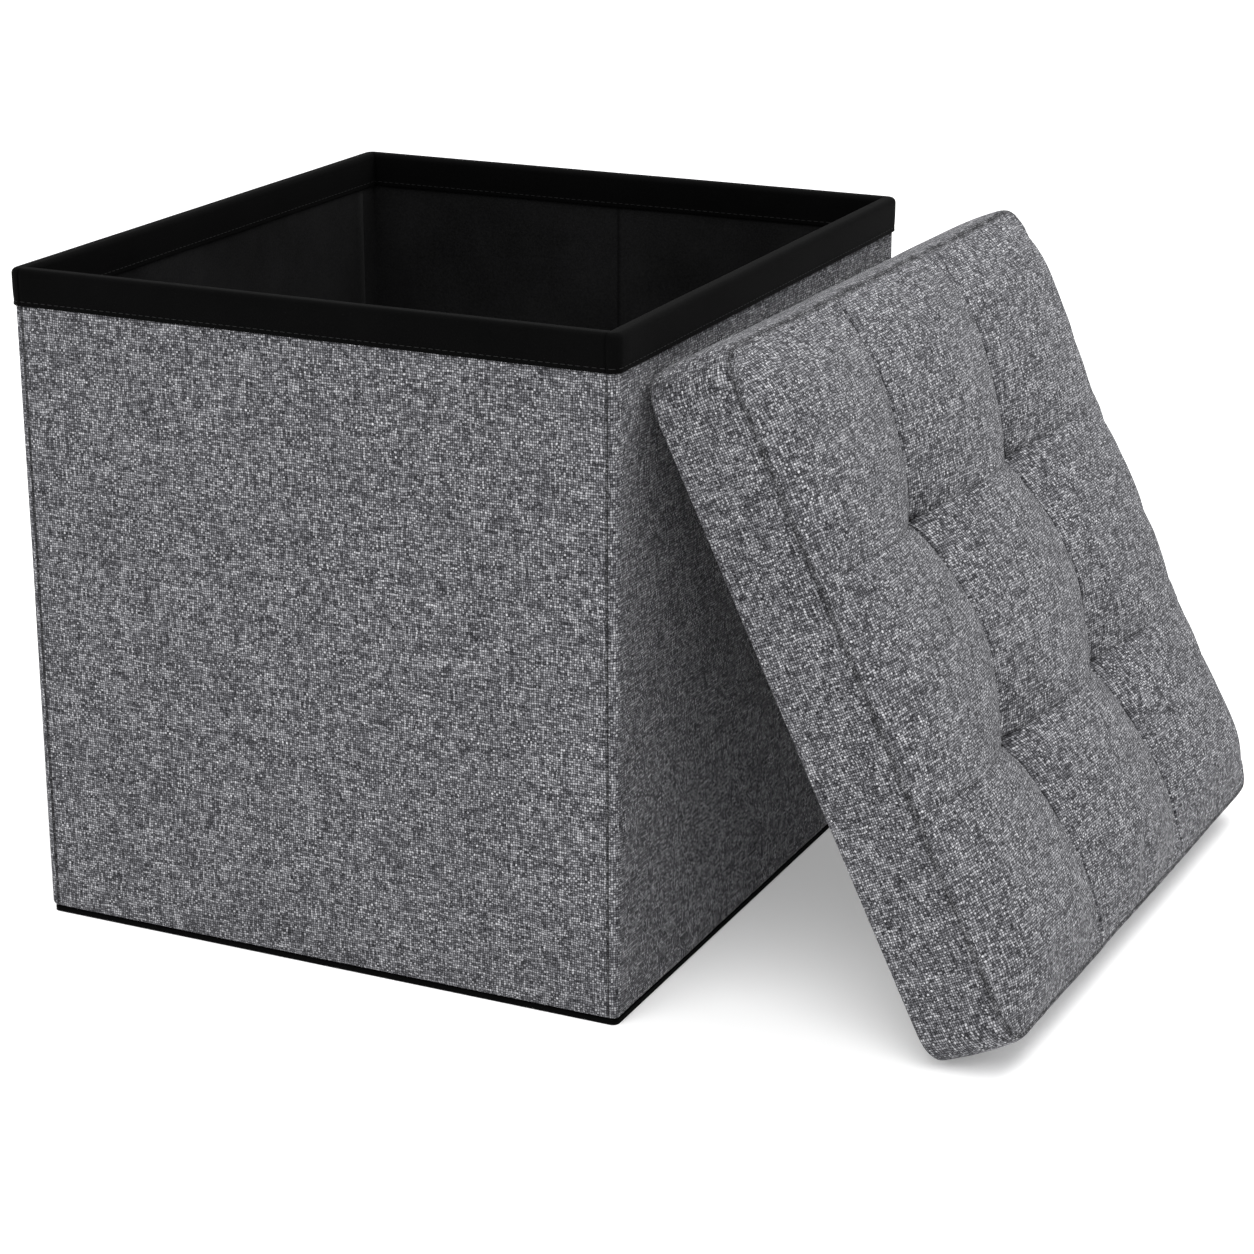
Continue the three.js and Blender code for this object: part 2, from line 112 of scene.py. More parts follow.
# ---- materials ----
class Nodes:
    """A short way to build one material's node tree."""

    def __init__(self, name, roughness):
        self.material = bpy.data.materials.new(name)
        self.material.use_nodes = True
        self.tree = self.material.node_tree
        self.shader = self.tree.nodes["Principled BSDF"]
        self.shader.inputs["Roughness"].default_value = roughness
        self.shader.inputs["Specular IOR Level"].default_value = 0.25

    def add(self, kind, **inputs):
        node = self.tree.nodes.new(kind)
        for key, value in inputs.items():
            self.feed(node.inputs[key.replace("_", " ")], value)
        return node

    def feed(self, socket, value):
        if isinstance(value, bpy.types.NodeSocket):
            self.tree.links.new(value, socket)
        else:
            socket.default_value = value

    def attribute(self, name):
        node = self.tree.nodes.new("ShaderNodeAttribute")
        node.attribute_name = name
        return node

    def object_place(self):
        return self.add("ShaderNodeTexCoord").outputs["Object"]

    def math(self, operation, a, b=0.0):
        node = self.tree.nodes.new("ShaderNodeMath")
        node.operation = operation
        self.feed(node.inputs[0], a)
        self.feed(node.inputs[1], b)
        return node.outputs[0]

    def combine(self, x, y, z):
        return self.add("ShaderNodeCombineXYZ", X=x, Y=y, Z=z).outputs[0]

    def split(self, vector):
        node = self.add("ShaderNodeSeparateXYZ", Vector=vector)
        return node.outputs[0], node.outputs[1], node.outputs[2]

    def noise(self, vector, scale, detail=2.0, roughness=0.5):
        node = self.add("ShaderNodeTexNoise", Vector=vector, Scale=scale, Detail=detail, Roughness=roughness)
        return node.outputs[0]

    def mix(self, factor, a, b):
        node = self.tree.nodes.new("ShaderNodeMix")
        node.data_type = "FLOAT"
        self.feed(node.inputs[0], factor)
        self.feed(node.inputs[2], a)
        self.feed(node.inputs[3], b)
        return node.outputs[0]

    def ramp(self, value, stops):
        node = self.add("ShaderNodeValToRGB", Fac=value)
        ramp = node.color_ramp
        while len(ramp.elements) < len(stops):
            ramp.elements.new(0.5)
        for element, (place, color) in zip(ramp.elements, stops):
            element.position = place
            element.color = (*color, 1) if hasattr(color, "__len__") else (color, color, color * 1.03, 1)
        return node.outputs[0]

    def tint(self, color, factor):
        """The colour, darkened by a factor from 0 to 1."""
        node = self.tree.nodes.new("ShaderNodeVectorMath")
        node.operation = "SCALE"
        self.feed(node.inputs[0], color)
        self.feed(node.inputs["Scale"], factor)
        return node.outputs[0]

    def bump(self, height, distance, strength=1.0):
        node = self.add("ShaderNodeBump", Height=height, Distance=distance, Strength=strength)
        self.tree.links.new(node.outputs[0], self.shader.inputs["Normal"])

    def color(self, socket):
        self.tree.links.new(socket, self.shader.inputs["Base Color"])

    def sheen(self, weight, roughness, tint=(1, 1, 1, 1)):
        self.shader.inputs["Sheen Weight"].default_value = weight
        self.shader.inputs["Sheen Roughness"].default_value = roughness
        self.shader.inputs["Sheen Tint"].default_value = tint


THREAD = 1.4 * MM  # pitch of the weave
FLECK = 0.45  # flecks to each thread pitch along a thread
# the melange's shades, from its darkest fibres to its lightest
SHADES = (
    (0.10, (0.006, 0.006, 0.008)),
    (0.32, (0.050, 0.050, 0.057)),
    (0.52, (0.165, 0.165, 0.180)),
    (0.72, (0.420, 0.421, 0.444)),
    (0.92, (0.780, 0.780, 0.800)),
)


def slubs(n, number, run, seed):
    """Light and dark lengths of the threads that run one way: short flecks, and slower changes of shade."""
    slow_place = n.combine(n.math("MULTIPLY", number, 3.7), n.math("MULTIPLY", run, 0.11), seed)
    slow = n.noise(slow_place, 1.0, 2.0, 0.6)
    fleck_place = n.combine(number, n.math("FLOOR", n.math("MULTIPLY", run, FLECK)), seed)
    fleck = n.add("ShaderNodeTexWhiteNoise", Vector=fleck_place).outputs["Value"]
    slow_part = n.math("MULTIPLY", n.math("SUBTRACT", slow, 0.5), 0.66)
    return n.math("ADD", slow_part, n.math("MULTIPLY", n.math("SUBTRACT", fleck, 0.5), 0.44))


def woven_fabric():
    """Linen-look melange: light and dark slub threads over and under each other, in the cloth's own directions."""
    n = Nodes("woven_fabric", 0.95)
    across, along, seed = n.split(n.attribute("weave").outputs["Vector"])
    place = n.combine(across, along, seed)
    bend_u = n.math("MULTIPLY", n.math("SUBTRACT", n.noise(place, 75.0, 3.0, 0.6), 0.5), 2.6)
    bend_v = n.math("MULTIPLY", n.math("SUBTRACT", n.noise(place, 68.0, 3.0, 0.6), 0.5), 2.6)
    u = n.math("ADD", n.math("DIVIDE", across, THREAD), bend_u)
    v = n.math("ADD", n.math("DIVIDE", along, THREAD), bend_v)
    warp_number, weft_number = n.math("FLOOR", u), n.math("FLOOR", v)
    pair = n.math("MULTIPLY", n.math("ADD", warp_number, weft_number), 0.5)
    weft_on_top = n.math("MULTIPLY", n.math("FRACT", pair), 2.0)
    warp = slubs(n, warp_number, v, seed)
    weft = slubs(n, weft_number, u, n.math("ADD", seed, 31.7))
    fibre = n.noise(n.combine(u, v, n.math("ADD", seed, 5.0)), 4.5, 2.0, 0.6)
    value = n.math("ADD", n.mix(weft_on_top, warp, weft), 0.5)
    value = n.math("ADD", value, n.math("MULTIPLY", n.math("SUBTRACT", fibre, 0.5), 1.3))
    shade = n.ramp(value, SHADES)
    # painted shade: the knot mask darkens the colour in the gaps between threads, where shade falls
    round_u = n.math("ABSOLUTE", n.math("SINE", n.math("MULTIPLY", u, math.pi)))
    round_v = n.math("ABSOLUTE", n.math("SINE", n.math("MULTIPLY", v, math.pi)))
    knot = n.math("POWER", n.math("MULTIPLY", round_u, round_v), 0.6)
    shadow = n.math("ADD", n.math("MULTIPLY", knot, 1.08), 0.01)
    patch = n.math("ADD", n.math("MULTIPLY", n.noise(place, 14.0, 2.0), 0.10), 0.95)
    # painted shade: the seam attribute darkens the colour along the seam grooves and in the tuft pits
    seam = n.attribute("seam").outputs["Fac"]
    seam_shade = n.math("SUBTRACT", 1.0, n.math("MULTIPLY", seam, 0.85))
    n.color(n.tint(shade, n.math("MULTIPLY", n.math("MULTIPLY", shadow, patch), seam_shade)))
    n.bump(n.math("ADD", knot, n.math("MULTIPLY", value, 0.5)), 0.45 * MM, 0.8)
    n.shader.inputs["Specular IOR Level"].default_value = 0.12
    n.sheen(0.05, 0.5)
    return n.material


def black_cloth(name, low, high, sheen, grain):
    """Non-woven or brushed black cloth with fine speckled fibres."""
    n = Nodes(name, 0.9)
    place = n.object_place()
    speckle = n.noise(place, grain, 3.0, 0.7)
    cloud = n.noise(place, 18.0, 3.0, 0.6)
    value = n.math("ADD", n.math("MULTIPLY", speckle, 0.6), n.math("MULTIPLY", cloud, 0.4))
    # the seam attribute darkens the colour: painted shade along the binding's seam grooves, and a darker line down
    # the lining's middle seam
    seam = n.attribute("seam").outputs["Fac"]
    dark = n.math("SUBTRACT", 1.0, n.math("MULTIPLY", seam, 0.7))
    n.color(n.tint(n.ramp(value, ((0.35, low), (0.68, high))), dark))
    n.bump(value, 0.35 * MM, 0.6)
    n.shader.inputs["Specular IOR Level"].default_value = 0.04
    n.sheen(sheen, 0.35)
    return n.material


def thread_material():
    n = Nodes("seam_thread", 0.7)
    place = n.object_place()
    twist = n.noise(place, 2600.0, 2.0)
    n.color(n.ramp(twist, ((0.3, 0.003), (0.7, 0.010))))
    n.bump(twist, 0.1 * MM)
    return n.material


def hardboard():
    n = Nodes("hardboard", 0.75)
    place = n.object_place()
    fibre = n.noise(place, 420.0, 5.0, 0.75)
    cloud = n.noise(place, 25.0, 2.0)
    value = n.math("ADD", n.math("MULTIPLY", fibre, 0.7), n.math("MULTIPLY", cloud, 0.3))
    browns = ((0.3, (0.11, 0.062, 0.030)), (0.55, (0.20, 0.12, 0.064)), (0.75, (0.30, 0.19, 0.11)))
    n.color(n.ramp(value, browns))
    n.bump(value, 0.25 * MM)
    return n.material


def moulded_plastic():
    n = Nodes("washer_plastic", 0.45)
    place = n.object_place()
    grain = n.noise(place, 1500.0, 2.0)
    n.color(n.ramp(grain, ((0.3, 0.010), (0.7, 0.020))))
    n.bump(grain, 0.05 * MM)
    return n.material


FABRIC = woven_fabric()
LINING_CLOTH = black_cloth("lining_cloth", low=0.0035, high=0.0120, sheen=0.03, grain=900.0)
BINDING = black_cloth("binding_cloth", low=0.0004, high=0.0018, sheen=0.02, grain=1300.0)
STITCH = thread_material()
BOARD = hardboard()
PLASTIC = moulded_plastic()


# the weave's third coordinate, which keeps the pattern of one cloth apart from another's
WALL_CLOTH, FLAT_CLOTH, LID_TOP_CLOTH, LID_BAND_CLOTH = 3.0, 8.0, 11.0, 12.0


# ---- meshes ----
def make_object(name, vertices, faces, materials, slots=None, weave=None, seam=None, smooth=True):
    mesh = bpy.data.meshes.new(name)
    mesh.from_pydata([tuple(v) for v in vertices], [], faces)
    for material in materials:
        mesh.materials.append(material)
    if slots is not None:
        mesh.polygons.foreach_set("material_index", slots)
    if weave is not None:
        layer = mesh.attributes.new("weave", "FLOAT_VECTOR", "POINT")
        layer.data.foreach_set("vector", np.asarray(weave, np.float32).ravel())
    # seam: how far the material darkens the colour along a seam, painted shade in the seam grooves (on the lining, a
    # darker middle seam line)
    if seam is not None:
        layer = mesh.attributes.new("seam", "FLOAT", "POINT")
        layer.data.foreach_set("value", np.asarray(seam, np.float32))
    face_out(mesh)
    mesh.polygons.foreach_set("use_smooth", [smooth] * len(mesh.polygons))
    mesh.set_sharp_from_angle(angle=math.radians(50))
    thing = bpy.data.objects.new(name, mesh)
    bpy.context.scene.collection.objects.link(thing)
    return thing


def tube_faces(base, rows, sides):
    """Faces of a closed tube whose rings of points follow each other, from the point numbered base."""
    faces = []
    for i in range(rows - 1):
        here, there = base + i * sides, base + (i + 1) * sides
        for k in range(sides):
            m = (k + 1) % sides
            faces.append((here + k, here + m, there + m, there + k))
    faces.append(tuple(base + k for k in range(sides)))
    faces.append(tuple(base + (rows - 1) * sides + k for k in range(sides)))
    return faces


def face_out(mesh):
    shell = bmesh.new()
    shell.from_mesh(mesh)
    bmesh.ops.recalc_face_normals(shell, faces=shell.faces)
    shell.to_mesh(mesh)
    shell.free()
    mesh.update()


# ---- the box's outline in plan ----
STRAIGHT_X = 2 * (HALF_X - CORNER_RADIUS)
STRAIGHT_Y = 2 * (HALF_Y - CORNER_RADIUS)
ARC = math.pi / 2 * CORNER_RADIUS
LENGTHS = (STRAIGHT_X, ARC, STRAIGHT_Y, ARC) * 2
STARTS = np.concatenate([[0], np.cumsum(LENGTHS)])
AROUND = STARTS[-1]


def at_front(x):
    return x + HALF_X - CORNER_RADIUS


def at_right(y):
    return STARTS[2] + y + HALF_Y - CORNER_RADIUS


def at_back(x):
    return STARTS[4] + HALF_X - CORNER_RADIUS - x


def at_left(y):
    return STARTS[6] + HALF_Y - CORNER_RADIUS - y


def outline_point(s, inset):
    """The plan point at distance s round the box, starting at the front's left end, inset from the outer face."""
    s = s % AROUND
    part = min(int(np.searchsorted(STARTS, s, side="right")) - 1, 7)
    share = (s - STARTS[part]) / LENGTHS[part]
    radius = max(CORNER_RADIUS - inset, SHARPEST)
    run_x = HALF_X - inset - radius
    run_y = HALF_Y - inset - radius
    turn = part // 2 * math.pi / 2
    run, out = (run_x, run_y) if part // 2 % 2 == 0 else (run_y, run_x)
    if part % 2 == 0:
        local = ((2 * share - 1) * run, -out - radius)
    else:
        angle = -math.pi / 2 + share * math.pi / 2
        local = (run + radius * math.cos(angle), -out + radius * math.sin(angle))
    c, s_ = round(math.cos(turn)), round(math.sin(turn))
    return local[0] * c - local[1] * s_, local[0] * s_ + local[1] * c


# the skin's upright seams, beside the corners of the front and back
SEAM_PLACES = [
    place
    for x in (HALF_X - CORNER_RADIUS - 0.7 * MM, CORNER_RADIUS + 0.7 * MM - HALF_X)
    for place in (at_front(x), at_back(x))
]


def stations(start, end, marks=()):
    """Distances from start to end: close together in the corners and near the marks, and wider between them."""
    places = [start]
    while places[-1] < end - 1e-9:
        s = places[-1]
        part = min(int(np.searchsorted(STARTS, (s + 1e-9) % AROUND, side="right")) - 1, 7)
        near = any(abs(s - m) < AFTER_FOLD or 0 < m - s < BEFORE_FOLD for m in marks)
        step = ARC / 6 if part % 2 else (FINE if near else WIDE)
        lap = s // AROUND * AROUND
        stop = lap + STARTS[part + 1]
        nxt = min(s + step, end)
        if nxt > stop - 0.2 * MM and s < stop - 1e-7:
            nxt = min(stop, end)
        places.append(nxt)
    for seam in SEAM_PLACES:
        near = [seam + lap + offset * MM for lap in (0, AROUND) for offset in SEAM_STEPS]
        places.extend(place for place in near if start < place < end)
    return sorted(set(round(place, 7) for place in places))


def dip(distance, width):
    """1 at no distance, and close to 0 from about twice the width."""
    return math.exp(-((distance / width) ** 2))


def ripple(s, z, seed, size):
    """A slow unevenness of cloth over a board."""
    return size * noise.noise(Vector((s * 14, z * 11, seed)))


class Strip:
    """A closed profile of (inset, height) points carried along part of the box's outline."""

    def __init__(self, places, profile, closed=False, seed=0.0, wave=0.0, shift=None):
        self.count = len(profile)
        lengths = [0.0]
        for (d0, z0), (d1, z1) in zip(profile, profile[1:]):
            lengths.append(lengths[-1] + math.hypot(d1 - d0, z1 - z0))
        self.vertices, self.weave = [], []
        for s in places:
            for k, (d, z) in enumerate(profile):
                bend = ripple(s % AROUND, z, seed, wave) if wave else 0.0
                bend += shift(s, d, z) if shift else 0.0
                x, y = outline_point(s, d + bend)
                self.vertices.append((x, y, z))
                self.weave.append((s % AROUND, lengths[k], WALL_CLOTH))
        self.faces = []
        rows = len(places)
        for i in range(rows if closed else rows - 1):
            j = (i + 1) % rows
            for k in range(self.count):
                m = (k + 1) % self.count
                a, b = i * self.count + k, i * self.count + m
                c, d = j * self.count + m, j * self.count + k
                self.faces.append((a, d, c, b))
        if not closed:
            self.faces.append(tuple(range(self.count)))
            self.faces.append(tuple((rows - 1) * self.count + k for k in reversed(range(self.count))))
        self.slots = [0] * len(self.faces)

    def add_stitch(self, s, inset, z, length, radius, outward):
        """One thread stitch lying along the strip, half sunk in the cloth."""
        base = len(self.vertices)
        ring = ((-radius, -radius), (radius, -radius), (radius * 0.7, radius), (-radius * 0.7, radius))
        for t, scale in ((-0.5, 0.5), (-0.25, 1.0), (0.25, 1.0), (0.5, 0.5)):
            for dz, dn in ring:
                x, y = outline_point(s + t * length, inset - outward * dn * scale)
                self.vertices.append((x, y, z + dz * scale))
                self.weave.append((s, z, WALL_CLOTH))
        faces = tube_faces(base, 4, 4)
        self.faces.extend(faces)
        self.slots.extend([1] * len(faces))

    def make(self, name, material, seam=None):
        values = [0.0] * len(self.vertices)
        if seam:
            values = [seam(v, w) for v, w in zip(self.vertices, self.weave)]
        return make_object(name, self.vertices, self.faces, [material, STITCH], self.slots, self.weave, values)


def levels(low, high, step):
    count = max(2, round((high - low) / step) + 1)
    return list(np.linspace(low, high, count))


def skin_profile():
    """Outer fabric: a rounded hem at the foot, the face, and the raw top edge under the binding."""
    top = TOP - UNDER_RIM
    foot_z = HEM_FOOT
    arc = [math.pi * (1.5 - t / 12) for t in range(7)]
    center = (HEM_RADIUS, foot_z + HEM_RADIUS)
    outer = [(center[0] + HEM_RADIUS * math.cos(a), center[1] + HEM_RADIUS * math.sin(a)) for a in arc]
    hollow = HEM_RADIUS - SKIN
    inner = [(center[0] + hollow * math.cos(a), center[1] + hollow * math.sin(a)) for a in arc]
    face = [(0.0, z) for z in levels(foot_z + HEM_RADIUS, top, 16 * MM)[1:]]
    turn_in = 1.6 * MM
    foot = [(HEM_RADIUS + turn_in, foot_z)]
    back = [(SKIN, top), (SKIN, foot_z + HEM_RADIUS)]
    return foot + outer + face + back + list(reversed(inner))[1:] + [(HEM_RADIUS + turn_in, foot_z + SKIN)]


def lining_profile():
    top = TOP - UNDER_RIM
    zs = levels(WALL_FOOT + 0.4 * MM, top, 24 * MM)
    return [(WALL - LINING, z) for z in reversed(zs)] + [(WALL, z) for z in zs]


def rim_profile():
    """Binding: a soft padded cap over the wall's top, thin at its two stitched edges."""
    out, round_off = -RIM_OUT + 0.2 * MM, 3.2 * MM
    side = ((0.75, 0.0), (0.3, 0.7), (0.6, 2.6), (0.4, 5.0), (0.25, 9.0), (0.2, 13.0))
    outer = [(-0.35 * MM, RIM_FOOT + 0.1 * MM)]
    outer += [(-RIM_OUT + d * MM, RIM_FOOT + z * MM) for d, z in side]
    for step in range(7):
        a = math.pi - step * math.pi / 12
        outer.append((out + round_off * (1 + math.cos(a)), TOP - round_off * (1 - math.sin(a))))
    mirrored = [(WALL - d, z) for d, z in reversed(outer)]
    hollow = [(WALL + 0.3 * MM, TOP - 3 * MM), (-0.3 * MM, TOP - 3 * MM)]
    return outer + mirrored + hollow


def upright_seam_shade(width):
    """How close a place round the box is to one of the skin's upright seams, from 0 to 1: how dark the painted shade
    in the seam's groove is.
    """
    def value(vertex, weave):
        nearest = min(abs(weave[0] - place) for place in SEAM_PLACES)
        return dip(nearest, width)
    return value


def upright_groove(s, d, z):
    nearest = min(abs(s % AROUND - place) for place in SEAM_PLACES)
    return 0.45 * MM * dip(nearest, 0.8 * MM) if d < SKIN / 2 else 0.0


def mid_seam(width):
    """How dark a seam line is at the middle of the front and back walls."""
    def value(vertex, weave):
        return dip(vertex[0], width) if abs(abs(vertex[1]) - HALF_Y) < 12 * MM else 0.0
    return value


# ---- the box: eight lengths of skin, lining and binding ----
CUT = FOLD_X - PIECE_END / 2
OPEN_X = INNER_X - 0.3 * MM  # the unsewn corner, where the ring of walls is opened


def lengths_round_the_box():
    """Name, start, end, and the places where the mesh is fine, for each length round the box."""
    side = HALF_Y - PIECE_END
    return {
        "front": (at_front(-CUT), at_front(CUT), (at_front(0),)),
        "front_right_corner": (at_front(CUT), at_right(-side), (at_front(FOLD_X),)),
        "right": (at_right(-side), at_right(side), ()),
        "back_right_corner": (at_right(side), at_back(CUT), (at_back(FOLD_X),)),
        "back": (at_back(CUT), at_back(-OPEN_X), (at_back(0),)),
        "back_left_corner": (at_back(-OPEN_X), at_left(side), ()),
        "left": (at_left(side), at_left(-side), ()),
        "front_left_corner": (at_left(-side), at_front(-CUT) + AROUND, (at_front(-FOLD_X) + AROUND,)),
    }


# the body a length rides on, or the two bodies either side of the fold it crosses, the signs of its x and y, and the
# bend's start and end in x. carry doesn't bend a length: one across a fold stays where it is. The back's middle is
# given from left to right, as a half turn would always bend the same way round.
MOVES = {
    "front": ("front_right", "front_left", (1, -1), (MIDDLE_BEND, -MIDDLE_BEND)),
    "front_right_corner": ("right_wall", "front_right", (1, -1), (INNER_X, FOLD_X - CORNER_BEND)),
    "right": "right_wall",
    "back_right_corner": ("right_wall", "back_right", (1, 1), (INNER_X, FOLD_X - CORNER_BEND)),
    "back": ("back_left", "back_right", (1, 1), (-MIDDLE_BEND, MIDDLE_BEND)),
    "back_left_corner": "left_wall",
    "left": "left_wall",
    "front_left_corner": ("left_wall", "front_left", (-1, -1), (INNER_X, FOLD_X - CORNER_BEND)),
}


def carry(thing, length):
    """Ride on the length's wall; a length across a fold is left where it stands, on no wall."""
    move = MOVES[length]
    if isinstance(move, str):
        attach(thing, move)
        return
    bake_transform(thing)


STITCH_PITCH = 4.2 * MM
STITCH_RISE = 2.6 * MM  # over the binding's lower edge
STITCH_SUNK = 0.55 * MM  # in from the binding's widest place
RIM_SEED, RIM_WAVE = 9.0, 0.3 * MM


def add_stitches(strip, start, end):
    """A row of stitches along each lower edge of the binding, outside and inside."""
    count = int((end - start) / STITCH_PITCH)
    for i in range(count):
        s = start + (i + 0.5) * (end - start) / count
        z = RIM_FOOT + STITCH_RISE
        bend = ripple(s % AROUND, z, RIM_SEED, RIM_WAVE)
        for inset, outward in ((-RIM_OUT + STITCH_SUNK, 1), (WALL + RIM_OUT - STITCH_SUNK, -1)):
            strip.add_stitch(s, inset + bend, z, length=2.9 * MM, radius=0.2 * MM, outward=outward)


STANDS_FOR = {
    "front": ("front_right", "front_left"),
    "back": ("back_right", "back_left"),
    "right": ("right",),
    "left": ("left",),
}


def make_layer(piece, part, profile, material, seam, seed, wave, shift=None, stitched=False):
    """One layer of cloth round the box, in eight lengths; four of them stand for the walls' CAD solids."""
    for length, (start, end, marks) in lengths_round_the_box().items():
        strip = Strip(stations(start, end, marks), profile, seed=seed, wave=wave, shift=shift)
        if stitched:
            add_stitches(strip, start, end)
        thing = strip.make(f"{length}_{piece}", material, seam)
        carry(thing, length)
        if length in STANDS_FOR:
            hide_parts(*(f"{panel}_{part}" for panel in STANDS_FOR[length]))


make_layer(
    "skin", "fabric", skin_profile(), FABRIC, upright_seam_shade(0.7 * MM),
    seed=1.0, wave=0.5 * MM, shift=upright_groove,
)
make_layer(
    "lining_cloth", "lining", lining_profile(), LINING_CLOTH, mid_seam(0.9 * MM),
    seed=4.0, wave=0.7 * MM,
)
make_layer(
    "binding", "rim", rim_profile(), BINDING, upright_seam_shade(0.6 * MM),
    seed=RIM_SEED, wave=RIM_WAVE, shift=upright_groove, stitched=True,
)


# ---- bottom cloth, its binding and the pull tab ----
def make_bottom():
    inset = HALF_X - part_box("bottom_binding")[1].x
    width = 6 * MM  # of the binding, in plan
    middle = (CLOTH_HIGH + HEM_FOOT) / 2
    tall = (HEM_FOOT - CLOTH_HIGH) / 2 - 0.05 * MM
    profile = []
    for i in range(16):
        a = math.pi / 2 - i * math.pi / 8
        d = inset + width / 2 - width / 2 * math.copysign(abs(math.cos(a)) ** 0.5, math.cos(a))
        profile.append((d, middle + tall * math.copysign(abs(math.sin(a)) ** 0.7, math.sin(a))))
    ring = Strip(stations(0, AROUND)[:-1], list(reversed(profile)), closed=True)
    binding = ring.make("bottom_edge_binding", BINDING)
    cloth_profile = [(inset, 0.0), (inset, CLOTH_HIGH)]
    places = stations(0, AROUND)[:-1]
    vertices = [(*outline_point(s, d), z) for d, z in cloth_profile for s in places]
    n = len(places)
    faces = [(i, (i + 1) % n, n + (i + 1) % n, n + i) for i in range(n)]
    faces += [tuple(reversed(range(n))), tuple(range(n, 2 * n))]
    cloth = make_object("bottom_cloth_sheet", vertices, faces, [LINING_CLOTH], smooth=False)
    for thing, node, slot in ((binding, "bottom_binding", "rim_binding"), (cloth, "bottom_cloth", "lining")):
        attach(thing, "right_wall")
        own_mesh(thing)
        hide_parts(node)


def make_pull_tab():
    """A ribbon folded back on itself, with its two ends under the base lining."""
    low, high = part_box("base_pull_tab")
    half, thick = (high.y - low.y) / 2, 0.35 * MM
    middle = (low.z + high.z) / 2
    path = []
    for i in range(9):
        path.append((high.x - i * (high.x - low.x) / 9, middle - thick * 0.75))
    for i in range(7):
        a = -math.pi / 2 - i * math.pi / 6
        path.append((low.x + thick * math.cos(a), middle + thick * 0.75 * math.sin(a)))
    for i in range(9):
        path.append((low.x + (i + 1) * (high.x - low.x) / 9, middle + thick * 0.75))
    vertices, across = [], 13
    for x, z in path:
        side = 1 if z > middle else -1
        for y in np.linspace(-half, half, across):
            vertices.append((x, y, z))
        for y in np.linspace(half, -half, across):
            vertices.append((x, y, z + side * thick / 2))
    faces = tube_faces(0, len(path), 2 * across)
    tab = make_object("pull_tab_ribbon", vertices, faces, [BINDING], smooth=False)
    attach(tab, "base")
    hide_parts("base_pull_tab")


make_bottom()
make_pull_tab()


# ---- flat cloth pieces ----
def cloth_slab(name, low, high, material, step, wave, turn=None):
    """A thin closed slab of cloth with a softly uneven upper face."""
    xs = np.linspace(low[0], high[0], max(2, round((high[0] - low[0]) / step) + 1))
    ys = np.linspace(low[1], high[1], max(2, round((high[1] - low[1]) / step) + 1))
    vertices, weave = [], []
    for level in (0, 1):
        for x in xs:
            for y in ys:
                rise = wave * (0.5 + 0.5 * noise.noise(Vector((x * 16, y * 16, 3.0)))) * level
                vertices.append(Vector((x, y, (low[2], high[2])[level] - rise)))
                weave.append((x, y, FLAT_CLOTH))
    if turn is not None:
        vertices = [turn @ v for v in vertices]
    nx, ny = len(xs), len(ys)
    plane = nx * ny
    faces = []
    for i in range(nx - 1):
        for j in range(ny - 1):
            a = i * ny + j
            faces.append((a, a + 1, a + ny + 1, a + ny))
            faces.append((plane + a, plane + a + ny, plane + a + ny + 1, plane + a + 1))
    rim = [i * ny for i in range(nx)] + [(nx - 1) * ny + j for j in range(1, ny)]
    rim += [i * ny + ny - 1 for i in range(nx - 2, -1, -1)] + [j for j in range(ny - 2, 0, -1)]
    for a, b in zip(rim, rim[1:] + rim[:1]):
        faces.append((a, b, plane + b, plane + a))
    return make_object(name, vertices, faces, [material], weave=weave, seam=[0.0] * len(vertices))


def make_base_cloths():
    low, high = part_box("base_lining")
    lining = cloth_slab("base_lining_cloth", low, high, LINING_CLOTH, 12 * MM, 0.15 * MM)
    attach(lining, "base")
    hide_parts("base_lining")
    low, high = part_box("base_hinge_tape")
    tape = cloth_slab("base_hinge_tape_cloth", low, high, BINDING, 6 * MM, 0.05 * MM)
    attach(tape, "right_wall")
    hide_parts("base_hinge_tape")


make_base_cloths()


# ---- the lid ----
LID_UP = Vector(JOINTS["lid_away"]["axis"]).normalized()
LID_ACROSS = Vector((-LID_UP.y, LID_UP.x, 0)).normalized()
LID_DOWN = LID_ACROSS.cross(LID_UP)


def node_points(*nodes):
    """The corners of some CAD nodes' meshes, along the lid's own axes."""
    axes = np.array([LID_DOWN, LID_ACROSS, LID_UP]).T
    return np.concatenate([[v.co for v in frame["nodes"][n].data.vertices] for n in nodes]) @ axes


LID_LOW = node_points("lid_side_band", "lid_underside_cloth").min(0)
LID_HIGH = node_points("lid_side_band", "lid_underside_cloth").max(0)
LID_LENGTH, LID_WIDTH, LID_BAND = LID_HIGH - LID_LOW
LID_MIDDLE = (LID_LOW + LID_HIGH) / 2
LID_ORIGIN = LID_DOWN * LID_MIDDLE[0] + LID_ACROSS * LID_MIDDLE[1] + LID_UP * LID_LOW[2]
LID_FRAME = Matrix.Translation(LID_ORIGIN) @ Matrix((LID_DOWN, LID_ACROSS, LID_UP)).transposed().to_4x4()
LID_CORNER = 22 * MM
SEAM_P = LID_LENGTH / 6  # cross seams, either side of the middle
SEAM_Q = LID_WIDTH / 6  # long seams
TUFTS = [(p, q) for p in (-SEAM_P, SEAM_P) for q in (-SEAM_Q, SEAM_Q)]
PANEL_INSET = 5 * MM  # of the edge seam from the lid's outline
CROWN = 15 * MM  # height of a panel's middle over the edge seam
SEAM_RISE = 4 * MM  # height of the cross seams over the edge seam
TUFT_DROP = 19 * MM
EDGE_REACH = 48 * MM
